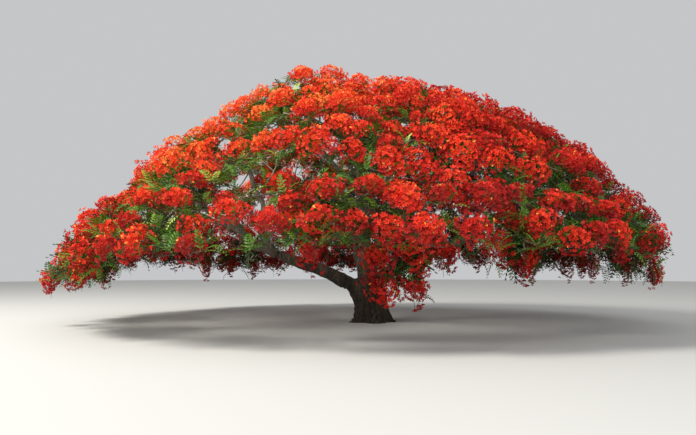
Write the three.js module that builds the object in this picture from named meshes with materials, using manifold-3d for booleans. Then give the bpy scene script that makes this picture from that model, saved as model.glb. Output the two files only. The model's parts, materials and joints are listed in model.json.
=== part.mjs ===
// A flame tree in full blossom, rooted in the ground: a short forked trunk, wide limbs and a domed crown.
// Millimetres, +Z up. The origin is the middle of the flat cut at ground level.
// +X runs along the crown's widest spread, and azimuths turn from +X towards +Y.
import * as THREE from "three";
import { mergeVertices } from "three/addons/utils/BufferGeometryUtils.js";
import Module from "manifold-3d";

const wasm = await Module();
wasm.setup();

// The crown's dome: it falls from CROWN_TOP in the middle to CROWN_EDGE at its rim. Blossom stands a little above it.
const CROWN_TOP = 6500;
const CROWN_EDGE = 1300;
const CROWN_SHIFT = -460; // the crown's middle stands this far along X from the trunk's foot
const SPREAD_X = 8500; // half the spread along X
const SPREAD_Y = 7750; // half the spread along Y
const DOME_ROUND = 2.1; // a higher power keeps the top flatter
const DOME_FALL = 0.92; // a lower power makes the rim steeper
const DOME_LEAN = 0.16; // the power is this much lower on the +X side and higher on the other

// The crown's masses stand in rings on the dome. share is how far out the ring is, as a share of the spread.
// across, along and deep are each mass's half sizes: round the tree, down the slope and square to the dome.
// lowest is the least lift of a twig: 1 points straight out of the dome, 0 along it.
// most is the largest radius of a head of blossom.
const RINGS = {
  top: { count: 1, share: 0.02, azimuth: 0, across: 1100, along: 1100, deep: 560, lowest: 0.3, most: 820 },
  crest: { count: 5, share: 0.29, azimuth: 18, across: 1400, along: 1350, deep: 620, lowest: 0.15, most: 820 },
  shoulder: { count: 8, share: 0.6, azimuth: -11.25, across: 1600, along: 1450, deep: 680, lowest: 0.1, most: 680 },
  hem: { count: 12, share: 0.93, azimuth: 0, across: 1650, along: 1500, deep: 600, lowest: -0.3, most: 620 },
};
const UNEVEN = { seed: 417, azimuth: 6, share: 0.03 }; // how far a mass may stand off its place in the ring
// Height of the lowest blossom of each hem mass, in turn round the tree.
const HEM_LINE = [1000, 1300, 1550, 1450, 1300, 1500, 920, 1060, 1720, 1780, 1760, 1700];
// Three sprays weep inside the hem at the front. Each is placed by its heart.
const WEEPING = [
  { name: "low_front", heart: [520, -4650, 1950], across: 720, along: 950, deep: 650, lowest: -0.6, most: 600 },
  { name: "low_left", heart: [-1450, -4900, 2550], across: 700, along: 750, deep: 600, lowest: -0.6, most: 560 },
  { name: "low_right", heart: [3250, -3150, 2250], across: 720, along: 800, deep: 620, lowest: -0.6, most: 560 },
];

// Trunk: height, radius and sideways lean of each level, from the flat cut up to the fork.
const TRUNK_LEVELS = [
  { height: 0, radius: 640, lean: 0 },
  { height: 130, radius: 530, lean: 0 },
  { height: 380, radius: 465, lean: -15 },
  { height: 640, radius: 490, lean: -60 },
  { height: 900, radius: 520, lean: -130 },
  { height: 1090, radius: 440, lean: -170 },
  { height: 1190, radius: 250, lean: -190 },
];
const TRUNK_SIDES = 14;
const ROOT_LOBES = 5; // root flares round the foot, deepest at ground level and gone at ROOT_TOP
const ROOT_LOBE_DEPTH = 0.13;
const ROOT_LOBE_TURN = 0.6; // radians
const ROOT_TOP = 400;
const FORK = new THREE.Vector3(-170, 0, 880); // where the limbs spring from, inside the trunk

// Limbs that leave the trunk. reach and height place the tip, which forks, and steep is the rise where it starts.
const LIMBS = [
  { name: "limb_right", azimuth: 8, reach: 2700, height: 2300, thick: 200, thin: 132, steep: 0.85 },
  { name: "limb_back", azimuth: 102, reach: 2400, height: 2450, thick: 195, thin: 126, steep: 1.0 },
  { name: "limb_left", azimuth: 190, reach: 2750, height: 1900, thick: 212, thin: 140, steep: 0.42 },
  { name: "limb_front", azimuth: 282, reach: 2150, height: 2600, thick: 190, thin: 124, steep: 1.1 },
];
const LEADER = { name: "leader", tip: [-270, 60, 3500], thick: 220, thin: 134 };

// Boughs that carry the rings. Each leaves a fork and ends where it enters its masses.
// share and below place the tip under the dome, and rise is how steeply it climbs there.
const HEM_BOUGH = { turns: { a: -23, b: 23 }, share: 0.6, below: 1500, thick: 88, thin: 60, rise: 0.05 };
const SHOULDER_BOUGH = { turns: { "": 0 }, share: 0.37, below: 1450, thick: 84, thin: 62, rise: 0.9 };
const CREST_BOUGH = { azimuths: [35, 150, 272], share: 0.13, below: 1500, thick: 80, thin: 58, rise: 1.2 };
const LIMB_RISE = 0.3; // how steeply a limb climbs at its tip
const LEAVE = 0.38; // how far a curve holds its first and last headings, as shares of its span
const ARRIVE = 0.34;
const SUNK = 0.55; // a limb starts this many of its radii inside the tip it grows from

// Stems, twigs, blossom heads and leaf sprays
const STEM_THICK = 40; // radius of a mass's stem at its bough's tip and at its heart
const STEM_THIN = 30;
const STEM_SWING = 1.4; // how soon a stem turns towards its heart
const STEM_OUT = 0.4; // how far it turns out of the dome at its end
const TWIG_THICK = 26; // radius at the stem and at the end
const TWIG_THIN = 16;
const TWIG_ROOTS = 0.5; // twigs leave the stem beyond this share of its length
const HEAD_LEAST = 365; // a head is a dome of blossom at a twig's end: this is its least radius
const HEAD_RISE = 0.5; // its height and its depth below the rim, as shares of its radius
const HEAD_SINK = 0.22;
const HEAD_SHOULDER = { out: 0.66, rise: 0.36 };
const HEAD_SIDES = 5;
const HEAD_OVER = 0.75; // neighbouring heads may lap: each keeps its place clear to this share of its radius
const OUTWARD = 0.25; // how strongly a head is drawn to the outside of its mass
const DIRECTIONS = 90; // places tried for each head: directions from the heart, at these shares of the reach
const PULLS = [1, 0.92, 0.84, 0.76, 0.68];
const LEAF_PLACE = 330; // a place with this much room or more takes a pair of leaf sprays
const LEAF_PLACES = 1; // most such places in a mass
const LEAF_LENGTH = 900; // a leaf stands for a spray of feathery leaves
const LEAF_WIDTH = 340;
const LEAF_THICK = 50;
const LEAF_ROOT = 0.3; // share of a leaf that is sunk in the twig or head it grows from
const LEAVES_ON_HEAD = 0.25; // share of heads with a leaf spray under them
const LEAF_DROOP = 0.3;
const GOLDEN_ANGLE = Math.PI * (3 - Math.sqrt(5));
const BLOOM = 0.86; // share of a mass's twigs that end in blossom
const LEAFY = { shoulder_5: 0.5, hem_8: 0.6 }; // masses with less blossom
const FIRST_SEED = 1009;
const SEED_STEP = 7919;
const MARGIN = 25; // each mass keeps this far inside its own space
const SIZE_SPREAD = 0.15; // heads are up to this share smaller than they might be

const GAP = 0.6; // clearance between neighbouring solids
const LIMB_SIDES = 7;
const LIMB_STEPS = 4;
const STEM_SIDES = 4;
const STEM_STEPS = 2;
const PIECES = 8; // straight pieces a limb counts as when room is measured
const SMOOTHING = 0.2; // edges of a fused solid shorter than this are closed up

const BARK = new THREE.MeshStandardMaterial({ color: 0x5a4c40, roughness: 0.92, metalness: 0 });
const BLOSSOM = new THREE.MeshStandardMaterial({ color: 0xc8281a, roughness: 0.6, metalness: 0 });
const LEAF = new THREE.MeshStandardMaterial({ color: 0x4f7030, roughness: 0.65, metalness: 0 });

const UP = new THREE.Vector3(0, 0, 1);
const radians = THREE.MathUtils.degToRad;

// A stream of numbers from 0 to 1 that is the same every time.
function seeded(seed) {
  let state = seed;
  return () => {
    state = (state * 16807) % 2147483647;
    return state / 2147483647;
  };
}

// The dome and places on it

function domePoint(azimuth, share) {
  const angle = radians(azimuth);
  const power = DOME_FALL - DOME_LEAN * Math.cos(angle);
  const fall = Math.pow(Math.max(0, 1 - Math.pow(share, DOME_ROUND)), power);
  return new THREE.Vector3(
    CROWN_SHIFT + SPREAD_X * share * Math.cos(angle),
    SPREAD_Y * share * Math.sin(angle),
    CROWN_EDGE + (CROWN_TOP - CROWN_EDGE) * fall,
  );
}

// Three directions at a place on the dome: across it on the level, down its slope, and straight out of it.
function domeAxes(azimuth, share) {
  const step = 0.01;
  const inner = domePoint(azimuth, Math.max(share - step, 0));
  const outer = domePoint(azimuth, Math.min(share + step, 1));
  const down = outer.sub(inner).normalize();
  const across = new THREE.Vector3(-Math.sin(radians(azimuth)), Math.cos(radians(azimuth)), 0);
  const out = new THREE.Vector3().crossVectors(down, across).normalize();
  return { across, down, out };
}

// Masses: their hearts, half sizes and axes

function ringMass(ringName, number, draw) {
  const ring = RINGS[ringName];
  const azimuth = ring.azimuth + (number * 360) / ring.count + UNEVEN.azimuth * (2 * draw() - 1);
  const share = ring.share + (ring.count > 1 ? UNEVEN.share * (2 * draw() - 1) : 0);
  const axes = domeAxes(azimuth, share);
  const heart = domePoint(azimuth, share).addScaledVector(axes.out, -ring.deep);
  const mass = { ...ring, ...axes, heart, wide: ring.across, below: ring.along, ring: ringName };
  mass.name = ring.count === 1 ? ringName : `${ringName}_${number + 1}`;
  if (ringName === "hem") mass.below = (heart.z - HEM_LINE[number] - HEAD_LEAST) / -axes.down.z;
  return mass;
}

function weepingMass(spray) {
  const heart = new THREE.Vector3(...spray.heart);
  const out = new THREE.Vector3(heart.x, heart.y, 0).normalize();
  const across = new THREE.Vector3(-out.y, out.x, 0);
  const down = UP.clone().negate();
  return { ...spray, heart, across, down, out, wide: spray.across, below: spray.along, ring: "weeping" };
}

function allMasses() {
  const draw = seeded(UNEVEN.seed);
  const masses = [];
  for (const ringName of Object.keys(RINGS)) {
    for (let number = 0; number < RINGS[ringName].count; number++) masses.push(ringMass(ringName, number, draw));
  }
  masses.push(...WEEPING.map(weepingMass));
  masses.forEach((mass, index) => {
    mass.seed = FIRST_SEED + SEED_STEP * (index + 1);
    mass.bloom = LEAFY[mass.name] ?? BLOOM;
  });
  return masses;
}

// Limbs, boughs and stems are tapering tubes on curves.

// A curve that leaves one point along one direction and reaches another along a second.
function arch(from, leaving, to, arriving) {
  const span = from.distanceTo(to);
  return new THREE.CubicBezierCurve3(
    from,
    from.clone().addScaledVector(leaving.clone().normalize(), span * LEAVE),
    to.clone().addScaledVector(arriving.clone().normalize(), -span * ARRIVE),
    to,
  );
}

function limb(name, curve, thick, thin, sides, steps) {
  return { name, curve, thick, thin, sides, steps, tip: curve.getPointAt(1), heading: curve.getTangentAt(1) };
}

function level(azimuth) {
  return new THREE.Vector3(Math.cos(radians(azimuth)), Math.sin(radians(azimuth)), 0);
}

function trunkLimbs() {
  const limbs = LIMBS.map((spec) => {
    const outward = level(spec.azimuth);
    const tip = outward.clone().multiplyScalar(spec.reach).setZ(spec.height);
    const curve = arch(FORK, outward.clone().setZ(spec.steep), tip, outward.clone().setZ(LIMB_RISE));
    return { ...limb(spec.name, curve, spec.thick, spec.thin, LIMB_SIDES, LIMB_STEPS), azimuth: spec.azimuth };
  });
  const curve = arch(FORK, UP, new THREE.Vector3(...LEADER.tip), UP);
  limbs.push(limb(LEADER.name, curve, LEADER.thick, LEADER.thin, LIMB_SIDES, LIMB_STEPS));
  return limbs;
}

// A bough that grows from its parent's tip to a place under the dome, for the masses of one ring.
function bough(name, parent, azimuth, spec, serves) {
  const tip = domePoint(azimuth, spec.share);
  tip.z -= spec.below;
  const from = parent.tip.clone().addScaledVector(parent.heading, -spec.thick * SUNK);
  const leaving = parent.heading.clone().add(tip.clone().sub(parent.tip).normalize());
  const curve = arch(from, leaving, tip, level(azimuth).setZ(spec.rise));
  return { ...limb(name, curve, spec.thick, spec.thin, LIMB_SIDES, LIMB_STEPS - 1), parent, serves };
}

function allBoughs(limbs) {
  const boughs = [];
  for (const parent of limbs.filter((one) => one.name !== LEADER.name)) {
    const side = parent.name.replace("limb_", "");
    for (const [serves, spec] of [["hem", HEM_BOUGH], ["shoulder", SHOULDER_BOUGH]]) {
      for (const [letter, turn] of Object.entries(spec.turns)) {
        const name = ["bough", serves, side, letter].filter(Boolean).join("_");
        boughs.push(bough(name, parent, parent.azimuth + turn, spec, serves));
      }
    }
  }
  const leader = limbs.find((one) => one.name === LEADER.name);
  CREST_BOUGH.azimuths.forEach((azimuth, number) => {
    boughs.push(bough(`bough_crest_${number + 1}`, leader, azimuth, CREST_BOUGH, "crest"));
  });
  return boughs;
}

// What carries a mass: the leader carries the top, and the nearest bough of its ring any other.
function carrierOf(mass, limbs, boughs) {
  if (mass.ring === "top") return limbs.find((one) => one.name === LEADER.name);
  const ring = mass.ring === "weeping" ? "hem" : mass.ring;
  const able = boughs.filter((one) => one.serves === ring);
  return able.reduce((a, b) => (a.tip.distanceTo(mass.heart) <= b.tip.distanceTo(mass.heart) ? a : b));
}

function stemOf(mass, carrier) {
  const from = carrier.tip.clone().addScaledVector(carrier.heading, -STEM_THICK * SUNK);
  const towards = mass.heart.clone().sub(from).normalize();
  const leaving = carrier.heading.clone().addScaledVector(towards, STEM_SWING);
  const arriving = towards.clone().addScaledVector(mass.out, STEM_OUT);
  return limb(mass.name, arch(from, leaving, mass.heart, arriving), STEM_THICK, STEM_THIN, STEM_SIDES, STEM_STEPS);
}

// Room to grow: a mass's space is every place nearer to its own heart than to another's.

// Straight pieces of every limb, with the radius at each piece's thicker end.
function limbPieces(limbs) {
  return limbs.flatMap((one) =>
    Array.from({ length: PIECES }, (_, i) => ({
      owner: one.name,
      a: one.curve.getPointAt(i / PIECES),
      b: one.curve.getPointAt((i + 1) / PIECES),
      radius: THREE.MathUtils.lerp(one.thick, one.thin, i / PIECES),
    })),
  );
}

function distanceToPiece(point, piece) {
  return new THREE.Line3(piece.a, piece.b).closestPointToPoint(point, true, new THREE.Vector3()).distanceTo(point);
}

// The radius of the largest ball about a point that stays in the mass's own space and off every limb,
// bough and other mass's stem.
function roomAt(mass, point, masses, pieces) {
  let room = Infinity;
  for (const other of masses) {
    if (other === mass) continue;
    const between = other.heart.clone().sub(mass.heart);
    const middle = other.heart.clone().add(mass.heart).multiplyScalar(0.5);
    room = Math.min(room, middle.sub(point).dot(between.normalize()));
  }
  for (const piece of pieces) {
    if (piece.owner !== mass.name) room = Math.min(room, distanceToPiece(point, piece) - piece.radius);
  }
  return room - MARGIN;
}

// Solids

function solidOf(geometry) {
  geometry.deleteAttribute("normal");
  geometry.deleteAttribute("uv");
  const merged = mergeVertices(geometry, 1e-4);
  const kept = [];
  const index = merged.index.array;
  for (let i = 0; i < index.length; i += 3) {
    const [a, b, c] = index.slice(i, i + 3);
    if (a !== b && b !== c && c !== a) kept.push(a, b, c);
  }
  return new wasm.Manifold(
    new wasm.Mesh({
      numProp: 3,
      vertProperties: new Float32Array(merged.attributes.position.array),
      triVerts: new Uint32Array(kept),
    }),
  );
}

// A tapering tube along a limb's curve. grow makes it fatter and longer all round.
function tubeSolid(one, grow = 0) {
  const geometry = new THREE.CylinderGeometry(1, 1, 1, one.sides, one.steps);
  const frames = one.curve.computeFrenetFrames(one.steps);
  const position = geometry.attributes.position;
  for (let i = 0; i < position.count; i++) {
    const ring = Math.round((position.getY(i) + 0.5) * one.steps);
    const past = ring === 0 ? -grow : ring === one.steps ? grow : 0;
    const radius = THREE.MathUtils.lerp(one.thick, one.thin, ring / one.steps) + grow;
    const place = one.curve.getPointAt(ring / one.steps).addScaledVector(frames.tangents[ring], past);
    place.addScaledVector(frames.normals[ring], position.getX(i) * radius);
    place.addScaledVector(frames.binormals[ring], -position.getZ(i) * radius);
    position.setXYZ(i, place.x, place.y, place.z);
  }
  return solidOf(geometry);
}

// The trunk is rings of TRUNK_LEVELS, lobed at the foot where the roots flare.
function trunkSolid(grow = 0) {
  const steps = TRUNK_LEVELS.length - 1;
  const geometry = new THREE.CylinderGeometry(1, 1, 1, TRUNK_SIDES, steps);
  const position = geometry.attributes.position;
  for (let i = 0; i < position.count; i++) {
    const number = Math.round((position.getY(i) + 0.5) * steps);
    const { height, radius, lean } = TRUNK_LEVELS[number];
    const angle = Math.atan2(position.getZ(i), position.getX(i));
    const flare = ROOT_LOBE_DEPTH * Math.max(0, 1 - height / ROOT_TOP);
    const lobed = radius * (1 + flare * Math.cos(ROOT_LOBES * angle + ROOT_LOBE_TURN)) + grow;
    const top = number === steps ? grow : 0;
    position.setXYZ(i, lean + position.getX(i) * lobed, -position.getZ(i) * lobed, height + top);
  }
  return solidOf(geometry);
}

// A twig is three-sided and thins towards its end.
function twigSolid(from, to) {
  const along = to.clone().sub(from);
  const geometry = new THREE.CylinderGeometry(TWIG_THIN, TWIG_THICK, along.length(), 3);
  geometry.translate(0, along.length() / 2, 0);
  geometry.applyQuaternion(new THREE.Quaternion().setFromUnitVectors(new THREE.Vector3(0, 1, 0), along.normalize()));
  return solidOf(geometry.translate(from.x, from.y, from.z));
}

// A blossom head: a low dome with its rim round the end of its twig.
function headSolid(end, axis, radius) {
  const profile = [
    [0, -HEAD_SINK],
    [1, 0],
    [HEAD_SHOULDER.out, HEAD_SHOULDER.rise],
    [0, HEAD_RISE],
  ].map(([out, rise]) => new THREE.Vector2(out * radius, rise * radius));
  const geometry = new THREE.LatheGeometry(profile, HEAD_SIDES);
  geometry.applyQuaternion(new THREE.Quaternion().setFromUnitVectors(new THREE.Vector3(0, 1, 0), axis));
  return solidOf(geometry.translate(end.x, end.y, end.z));
}

// A leaf spray: an eight-faced blade, ridged along its middle, with its root sunk in what it grows from.
function leafSolid(root, along) {
  const across = new THREE.Vector3().crossVectors(UP, along).normalize();
  const out = new THREE.Vector3().crossVectors(along, across);
  const geometry = new THREE.OctahedronGeometry(1, 0);
  geometry.scale(LEAF_LENGTH / 2, LEAF_WIDTH / 2, LEAF_THICK / 2);
  geometry.applyMatrix4(new THREE.Matrix4().makeBasis(along, across, out));
  const middle = leafPlace(root, along, 0.5);
  return solidOf(geometry.translate(middle.x, middle.y, middle.z));
}

function leafPlace(root, along, share) {
  return root.clone().addScaledVector(along, LEAF_LENGTH * (share - LEAF_ROOT));
}

// A place on the straight pieces of a tube, by its share of the tube's steps.
function onTube(one, share) {
  const at = share * one.steps;
  const piece = Math.min(Math.floor(at), one.steps - 1);
  const from = one.curve.getPointAt(piece / one.steps);
  return from.lerp(one.curve.getPointAt((piece + 1) / one.steps), at - piece);
}

// Every place where one of a mass's twigs may end, with the room there.
function placesIn(mass, masses, pieces) {
  const places = [];
  for (let i = 0; i < DIRECTIONS; i++) {
    const lift = 1 - ((1 - mass.lowest) * (i + 0.5)) / DIRECTIONS;
    const round = i * GOLDEN_ANGLE + mass.seed;
    const aside = Math.sqrt(1 - lift * lift);
    const downslope = Math.sin(round) * aside;
    const reach = new THREE.Vector3()
      .addScaledVector(mass.across, Math.cos(round) * aside * mass.wide)
      .addScaledVector(mass.down, downslope * (downslope > 0 ? mass.below : mass.along))
      .addScaledVector(mass.out, lift * mass.deep);
    const heading = reach.clone().normalize();
    for (const pull of PULLS) {
      const end = mass.heart.clone().addScaledVector(reach, pull);
      places.push({ end, heading, room: roomAt(mass, end, masses, pieces), far: reach.length() * pull });
    }
  }
  return places;
}

// The mass's twigs, each ending in the place that takes the largest head and lies furthest out, until
// no place is large enough. Leaf sprays take the gaps that are left.
function twigsOf(mass, masses, pieces) {
  const draw = seeded(mass.seed);
  const places = placesIn(mass, masses, pieces);
  const twigs = [];
  let leafPlaces = 0;
  for (;;) {
    const most = mass.most * (1 - SIZE_SPREAD * draw());
    const [kind, turn, leafy] = [draw(), draw(), draw()];
    let best = null;
    for (const place of places) {
      const clear = twigs.map((twig) => place.end.distanceTo(twig.end) - twig.radius);
      const radius = Math.min(most, place.room, Math.min(...clear) / HEAD_OVER);
      const score = radius + OUTWARD * place.far;
      if (radius >= LEAF_PLACE && (!best || score > best.score)) best = { ...place, radius, score };
    }
    if (!best) break;
    const blossoms = best.radius >= HEAD_LEAST && kind < mass.bloom;
    if (!blossoms && leafPlaces++ >= LEAF_PLACES && mass.bloom >= BLOOM) break;
    if (!blossoms) best.radius = Math.min(best.radius, HEAD_LEAST);
    twigs.push({ ...best, blossoms, turn, leafy: leafy < LEAVES_ON_HEAD });
  }
  twigs.sort((a, b) => a.heading.dot(mass.out) - b.heading.dot(mass.out));
  twigs.forEach((twig, number) => (twig.place = (number + 0.7) / twigs.length));
  return twigs;
}

// The leaf sprays at a twig's end, out along the twig and drooping: one under a head, two on a bare twig.
function leavesOf(twig) {
  if (twig.blossoms && !twig.leafy) return [];
  const sideways = new THREE.Vector3().crossVectors(twig.heading, UP).normalize();
  const aside = twig.blossoms ? [twig.turn - 0.5] : [-0.85 + 0.3 * twig.turn, 0.6 + 0.3 * twig.turn];
  return aside.map((side, number) => {
    const droop = -LEAF_DROOP * (1 + 0.6 * number);
    const along = twig.heading.clone().addScaledVector(UP, droop).addScaledVector(sideways, side).normalize();
    const forward = twig.blossoms ? 0.4 * twig.radius : -0.09 * number * LEAF_LENGTH;
    return { along, root: twig.end.clone().addScaledVector(twig.heading, forward) };
  });
}

// True if a straight piece with this radius stays in the mass's own space and off the limbs.
function runsClear(mass, from, to, radius, masses, pieces) {
  return [0.2, 0.4, 0.6, 0.8, 1].every((share) => {
    return roomAt(mass, from.clone().lerp(to, share), masses, pieces) > radius;
  });
}

// The fused solid of one mass: stem, twigs, blossom heads and leaf sprays.
function massSolid(mass, stem, masses, pieces) {
  const parts = [tubeSolid(stem)];
  for (const twig of twigsOf(mass, masses, pieces)) {
    const root = onTube(stem, TWIG_ROOTS + (1 - TWIG_ROOTS) * twig.place);
    if (!runsClear(mass, root, twig.end, TWIG_THICK, masses, pieces)) continue;
    const axis = twig.heading.clone().add(UP).add(mass.out).normalize();
    parts.push(twigSolid(root, twig.end));
    if (twig.blossoms) parts.push(headSolid(twig.end, axis, twig.radius));
    for (const { root: from, along } of leavesOf(twig)) {
      const middle = leafPlace(from, along, 0.5);
      const wideEnough = roomAt(mass, middle, masses, pieces) > LEAF_WIDTH / 2;
      const tipClear = runsClear(mass, middle, leafPlace(from, along, 1), LEAF_THICK, masses, pieces);
      if (wideEnough && tipClear) parts.push(leafSolid(from, along));
    }
  }
  return wasm.Manifold.union(parts);
}

// The largest closed body of a solid: scraps that a cut leaves loose are dropped.
function largestBody(solid) {
  return solid.decompose().reduce((a, b) => (a.volume() >= b.volume() ? a : b));
}

function meshOf(name, solid, material) {
  const { vertProperties, triVerts } = largestBody(solid).simplify(SMOOTHING).getMesh();
  const geometry = new THREE.BufferGeometry();
  geometry.setAttribute("position", new THREE.BufferAttribute(new Float32Array(vertProperties), 3));
  geometry.setIndex(new THREE.BufferAttribute(new Uint32Array(triVerts), 1));
  geometry.computeVertexNormals();
  const mesh = new THREE.Mesh(geometry, material);
  mesh.name = name;
  return mesh;
}

// The whole tree: the trunk, then limbs and boughs, each cut clear of what it springs from, then the masses.

const limbs = trunkLimbs();
const boughs = allBoughs(limbs);
const masses = allMasses();
const carriers = masses.map((mass) => carrierOf(mass, limbs, boughs));
const stems = masses.map((mass, index) => stemOf(mass, carriers[index]));
const trunkAxis = new THREE.LineCurve3(new THREE.Vector3(), FORK);
const trunkLimb = limb("trunk", trunkAxis, TRUNK_LEVELS[0].radius, TRUNK_LEVELS[0].radius, TRUNK_SIDES, 1);
const pieces = limbPieces([trunkLimb, ...limbs, ...boughs, ...stems]);

const tree = new THREE.Group();
tree.add(meshOf("trunk", trunkSolid(), BARK));

limbs.forEach((one, index) => {
  const cutters = [trunkSolid(GAP), ...limbs.slice(0, index).map((other) => tubeSolid(other, GAP))];
  tree.add(meshOf(one.name, tubeSolid(one).subtract(wasm.Manifold.union(cutters)), BARK));
});

boughs.forEach((one, index) => {
  const siblings = boughs.slice(0, index).filter((other) => other.parent === one.parent);
  const cutters = [one.parent, ...siblings].map((other) => tubeSolid(other, GAP));
  tree.add(meshOf(one.name, tubeSolid(one).subtract(wasm.Manifold.union(cutters)), BARK));
});

masses.forEach((mass, index) => {
  const carrier = carriers[index];
  const solid = massSolid(mass, stems[index], masses, pieces);
  const beside = stems.slice(0, index).filter((_, other) => carriers[other] === carrier);
  const carried = boughs.filter((one) => one.parent === carrier);
  const cutters = [carrier, ...beside, ...carried].map((other) => tubeSolid(other, GAP));
  const material = mass.bloom < BLOOM ? LEAF : BLOSSOM;
  tree.add(meshOf(`foliage_${mass.name}`, solid.subtract(wasm.Manifold.union(cutters)), material));
});

export default tree;
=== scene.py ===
"""A flame tree in full blossom on a pale studio floor.

Metres, +Z up. The origin is the middle of the cut under the trunk, +X runs along the crown's widest spread,
and azimuths turn from +X towards +Y. Limbs, boughs and masses of foliage follow the seeded rule of the
solids. Heads of blossom break up into clumps of flowers, and finer twigs and leaves fill in between.
"""

import json
from collections import namedtuple
from math import cos, pi, radians, sin, sqrt
from types import SimpleNamespace as Sizes

import bmesh
import bpy
import numpy as np
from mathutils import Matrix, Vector, noise
from numpy.linalg import norm

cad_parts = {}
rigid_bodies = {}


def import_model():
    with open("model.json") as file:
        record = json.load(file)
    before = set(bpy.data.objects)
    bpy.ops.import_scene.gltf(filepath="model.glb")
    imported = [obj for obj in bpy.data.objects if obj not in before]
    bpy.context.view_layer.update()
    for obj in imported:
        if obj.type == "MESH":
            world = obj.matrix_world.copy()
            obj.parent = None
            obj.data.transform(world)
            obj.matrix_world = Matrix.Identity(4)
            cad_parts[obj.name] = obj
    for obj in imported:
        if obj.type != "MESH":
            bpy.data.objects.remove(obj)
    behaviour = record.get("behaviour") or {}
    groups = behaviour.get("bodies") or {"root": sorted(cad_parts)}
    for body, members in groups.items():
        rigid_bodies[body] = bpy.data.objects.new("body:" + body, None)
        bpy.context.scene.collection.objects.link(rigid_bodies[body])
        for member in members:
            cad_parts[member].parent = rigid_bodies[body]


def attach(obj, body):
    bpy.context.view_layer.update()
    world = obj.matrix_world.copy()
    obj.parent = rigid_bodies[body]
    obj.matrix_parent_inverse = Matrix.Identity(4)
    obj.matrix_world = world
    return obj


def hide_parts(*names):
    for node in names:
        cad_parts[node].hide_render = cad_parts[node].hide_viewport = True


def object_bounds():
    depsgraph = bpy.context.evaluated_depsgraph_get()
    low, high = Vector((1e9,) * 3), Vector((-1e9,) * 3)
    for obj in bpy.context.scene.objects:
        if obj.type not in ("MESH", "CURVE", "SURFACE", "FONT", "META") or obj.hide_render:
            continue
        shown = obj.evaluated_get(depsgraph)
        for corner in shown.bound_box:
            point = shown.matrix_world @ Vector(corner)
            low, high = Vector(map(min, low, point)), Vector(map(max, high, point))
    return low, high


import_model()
cad_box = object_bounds()


def table(fields, **rows):
    """Named rows of sizes, each with the same fields."""
    return {name: Sizes(**dict(zip(fields.split(), row))) for name, row in rows.items()}


UP = np.array([0.0, 0.0, 1.0])
FULL_TURN = 2 * pi
GOLDEN_ANGLE = pi * (3 - sqrt(5))
STREAM = Sizes(factor=16807, modulus=2147483647)

# The crown's dome
CROWN_TOP = 6.5
CROWN_EDGE = 1.3
CROWN_SHIFT = -0.46
SPREAD_X = 8.5
SPREAD_Y = 7.75
DOME = Sizes(round=2.1, fall=0.92, lean=0.16, step=0.01)

# Rings of masses: their places on the dome, half sizes, largest heads, and how low their twigs start
RINGS = table(
    "count share turn wide along deep most low",
    top=(1, 0.02, 0, 1.1, 1.1, 0.56, 0.82, 0.3),
    crest=(5, 0.29, 18, 1.4, 1.35, 0.62, 0.82, 0.15),
    shoulder=(8, 0.6, -11.25, 1.6, 1.45, 0.68, 0.68, 0.1),
    hem=(12, 0.93, 0, 1.65, 1.5, 0.6, 0.62, -0.3),
)
UNEVEN = Sizes(seed=417, azimuth=6, share=0.03)
HEM_LINE = [1.0, 1.3, 1.55, 1.45, 1.3, 1.5, 0.92, 1.06, 1.72, 1.78, 1.76, 1.7]
WEEPING = table(
    "heart wide along deep most low",
    low_front=((0.52, -4.65, 1.95), 0.72, 0.95, 0.65, 0.6, -0.6),
    low_left=((-1.45, -4.9, 2.55), 0.7, 0.75, 0.6, 0.56, -0.6),
    low_right=((3.25, -3.15, 2.25), 0.72, 0.8, 0.62, 0.56, -0.6),
)
BLOOM = 0.86
LEAFY = {"shoulder_5": 0.5, "hem_8": 0.6}
FIRST_SEED = 1009
SEED_STEP = 7919

# Trunk, limbs and boughs
TRUNK = Sizes(
    heights=[0, 0.13, 0.38, 0.64, 0.9, 1.09, 1.19],
    radii=[0.64, 0.53, 0.465, 0.49, 0.52, 0.44, 0.25],
    leans=[0, 0, -0.015, -0.06, -0.13, -0.17, -0.19],
    sides=56,
    rings=40,
    under=0.12,  # it starts so far under the ground, where it is cut flat
    thick=0.64,  # the room that it takes in the crown
    thin=0.64,
)
ROOTS = Sizes(lobes=5, deep=0.13, turn=0.6, top=0.4)
FLUTES = Sizes(count=9, deep=0.035, twist=2.2)
FORK = np.array([-0.17, 0.0, 0.88])
LIMBS = table(
    "azimuth reach height thick thin steep",
    right=(8, 2.7, 2.3, 0.2, 0.132, 0.85),
    back=(102, 2.4, 2.45, 0.195, 0.126, 1.0),
    left=(190, 2.75, 1.9, 0.212, 0.14, 0.42),
    front=(282, 2.15, 2.6, 0.19, 0.124, 1.1),
)
LEADER = Sizes(tip=(-0.27, 0.06, 3.5), thick=0.22, thin=0.134)
BOUGHS = table(
    "share below thick thin rise",
    hem=(0.6, 1.5, 0.088, 0.06, 0.05),
    shoulder=(0.37, 1.45, 0.084, 0.062, 0.9),
    crest=(0.13, 1.5, 0.08, 0.058, 1.2),
)
HEM_TURNS = {"a": -23, "b": 23}
CREST_AZIMUTHS = {1: 35, 2: 150, 3: 272}
LIMB = Sizes(rise=0.3, leave=0.38, arrive=0.34, sunk=0.55, steps=200, pieces=8)

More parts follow.
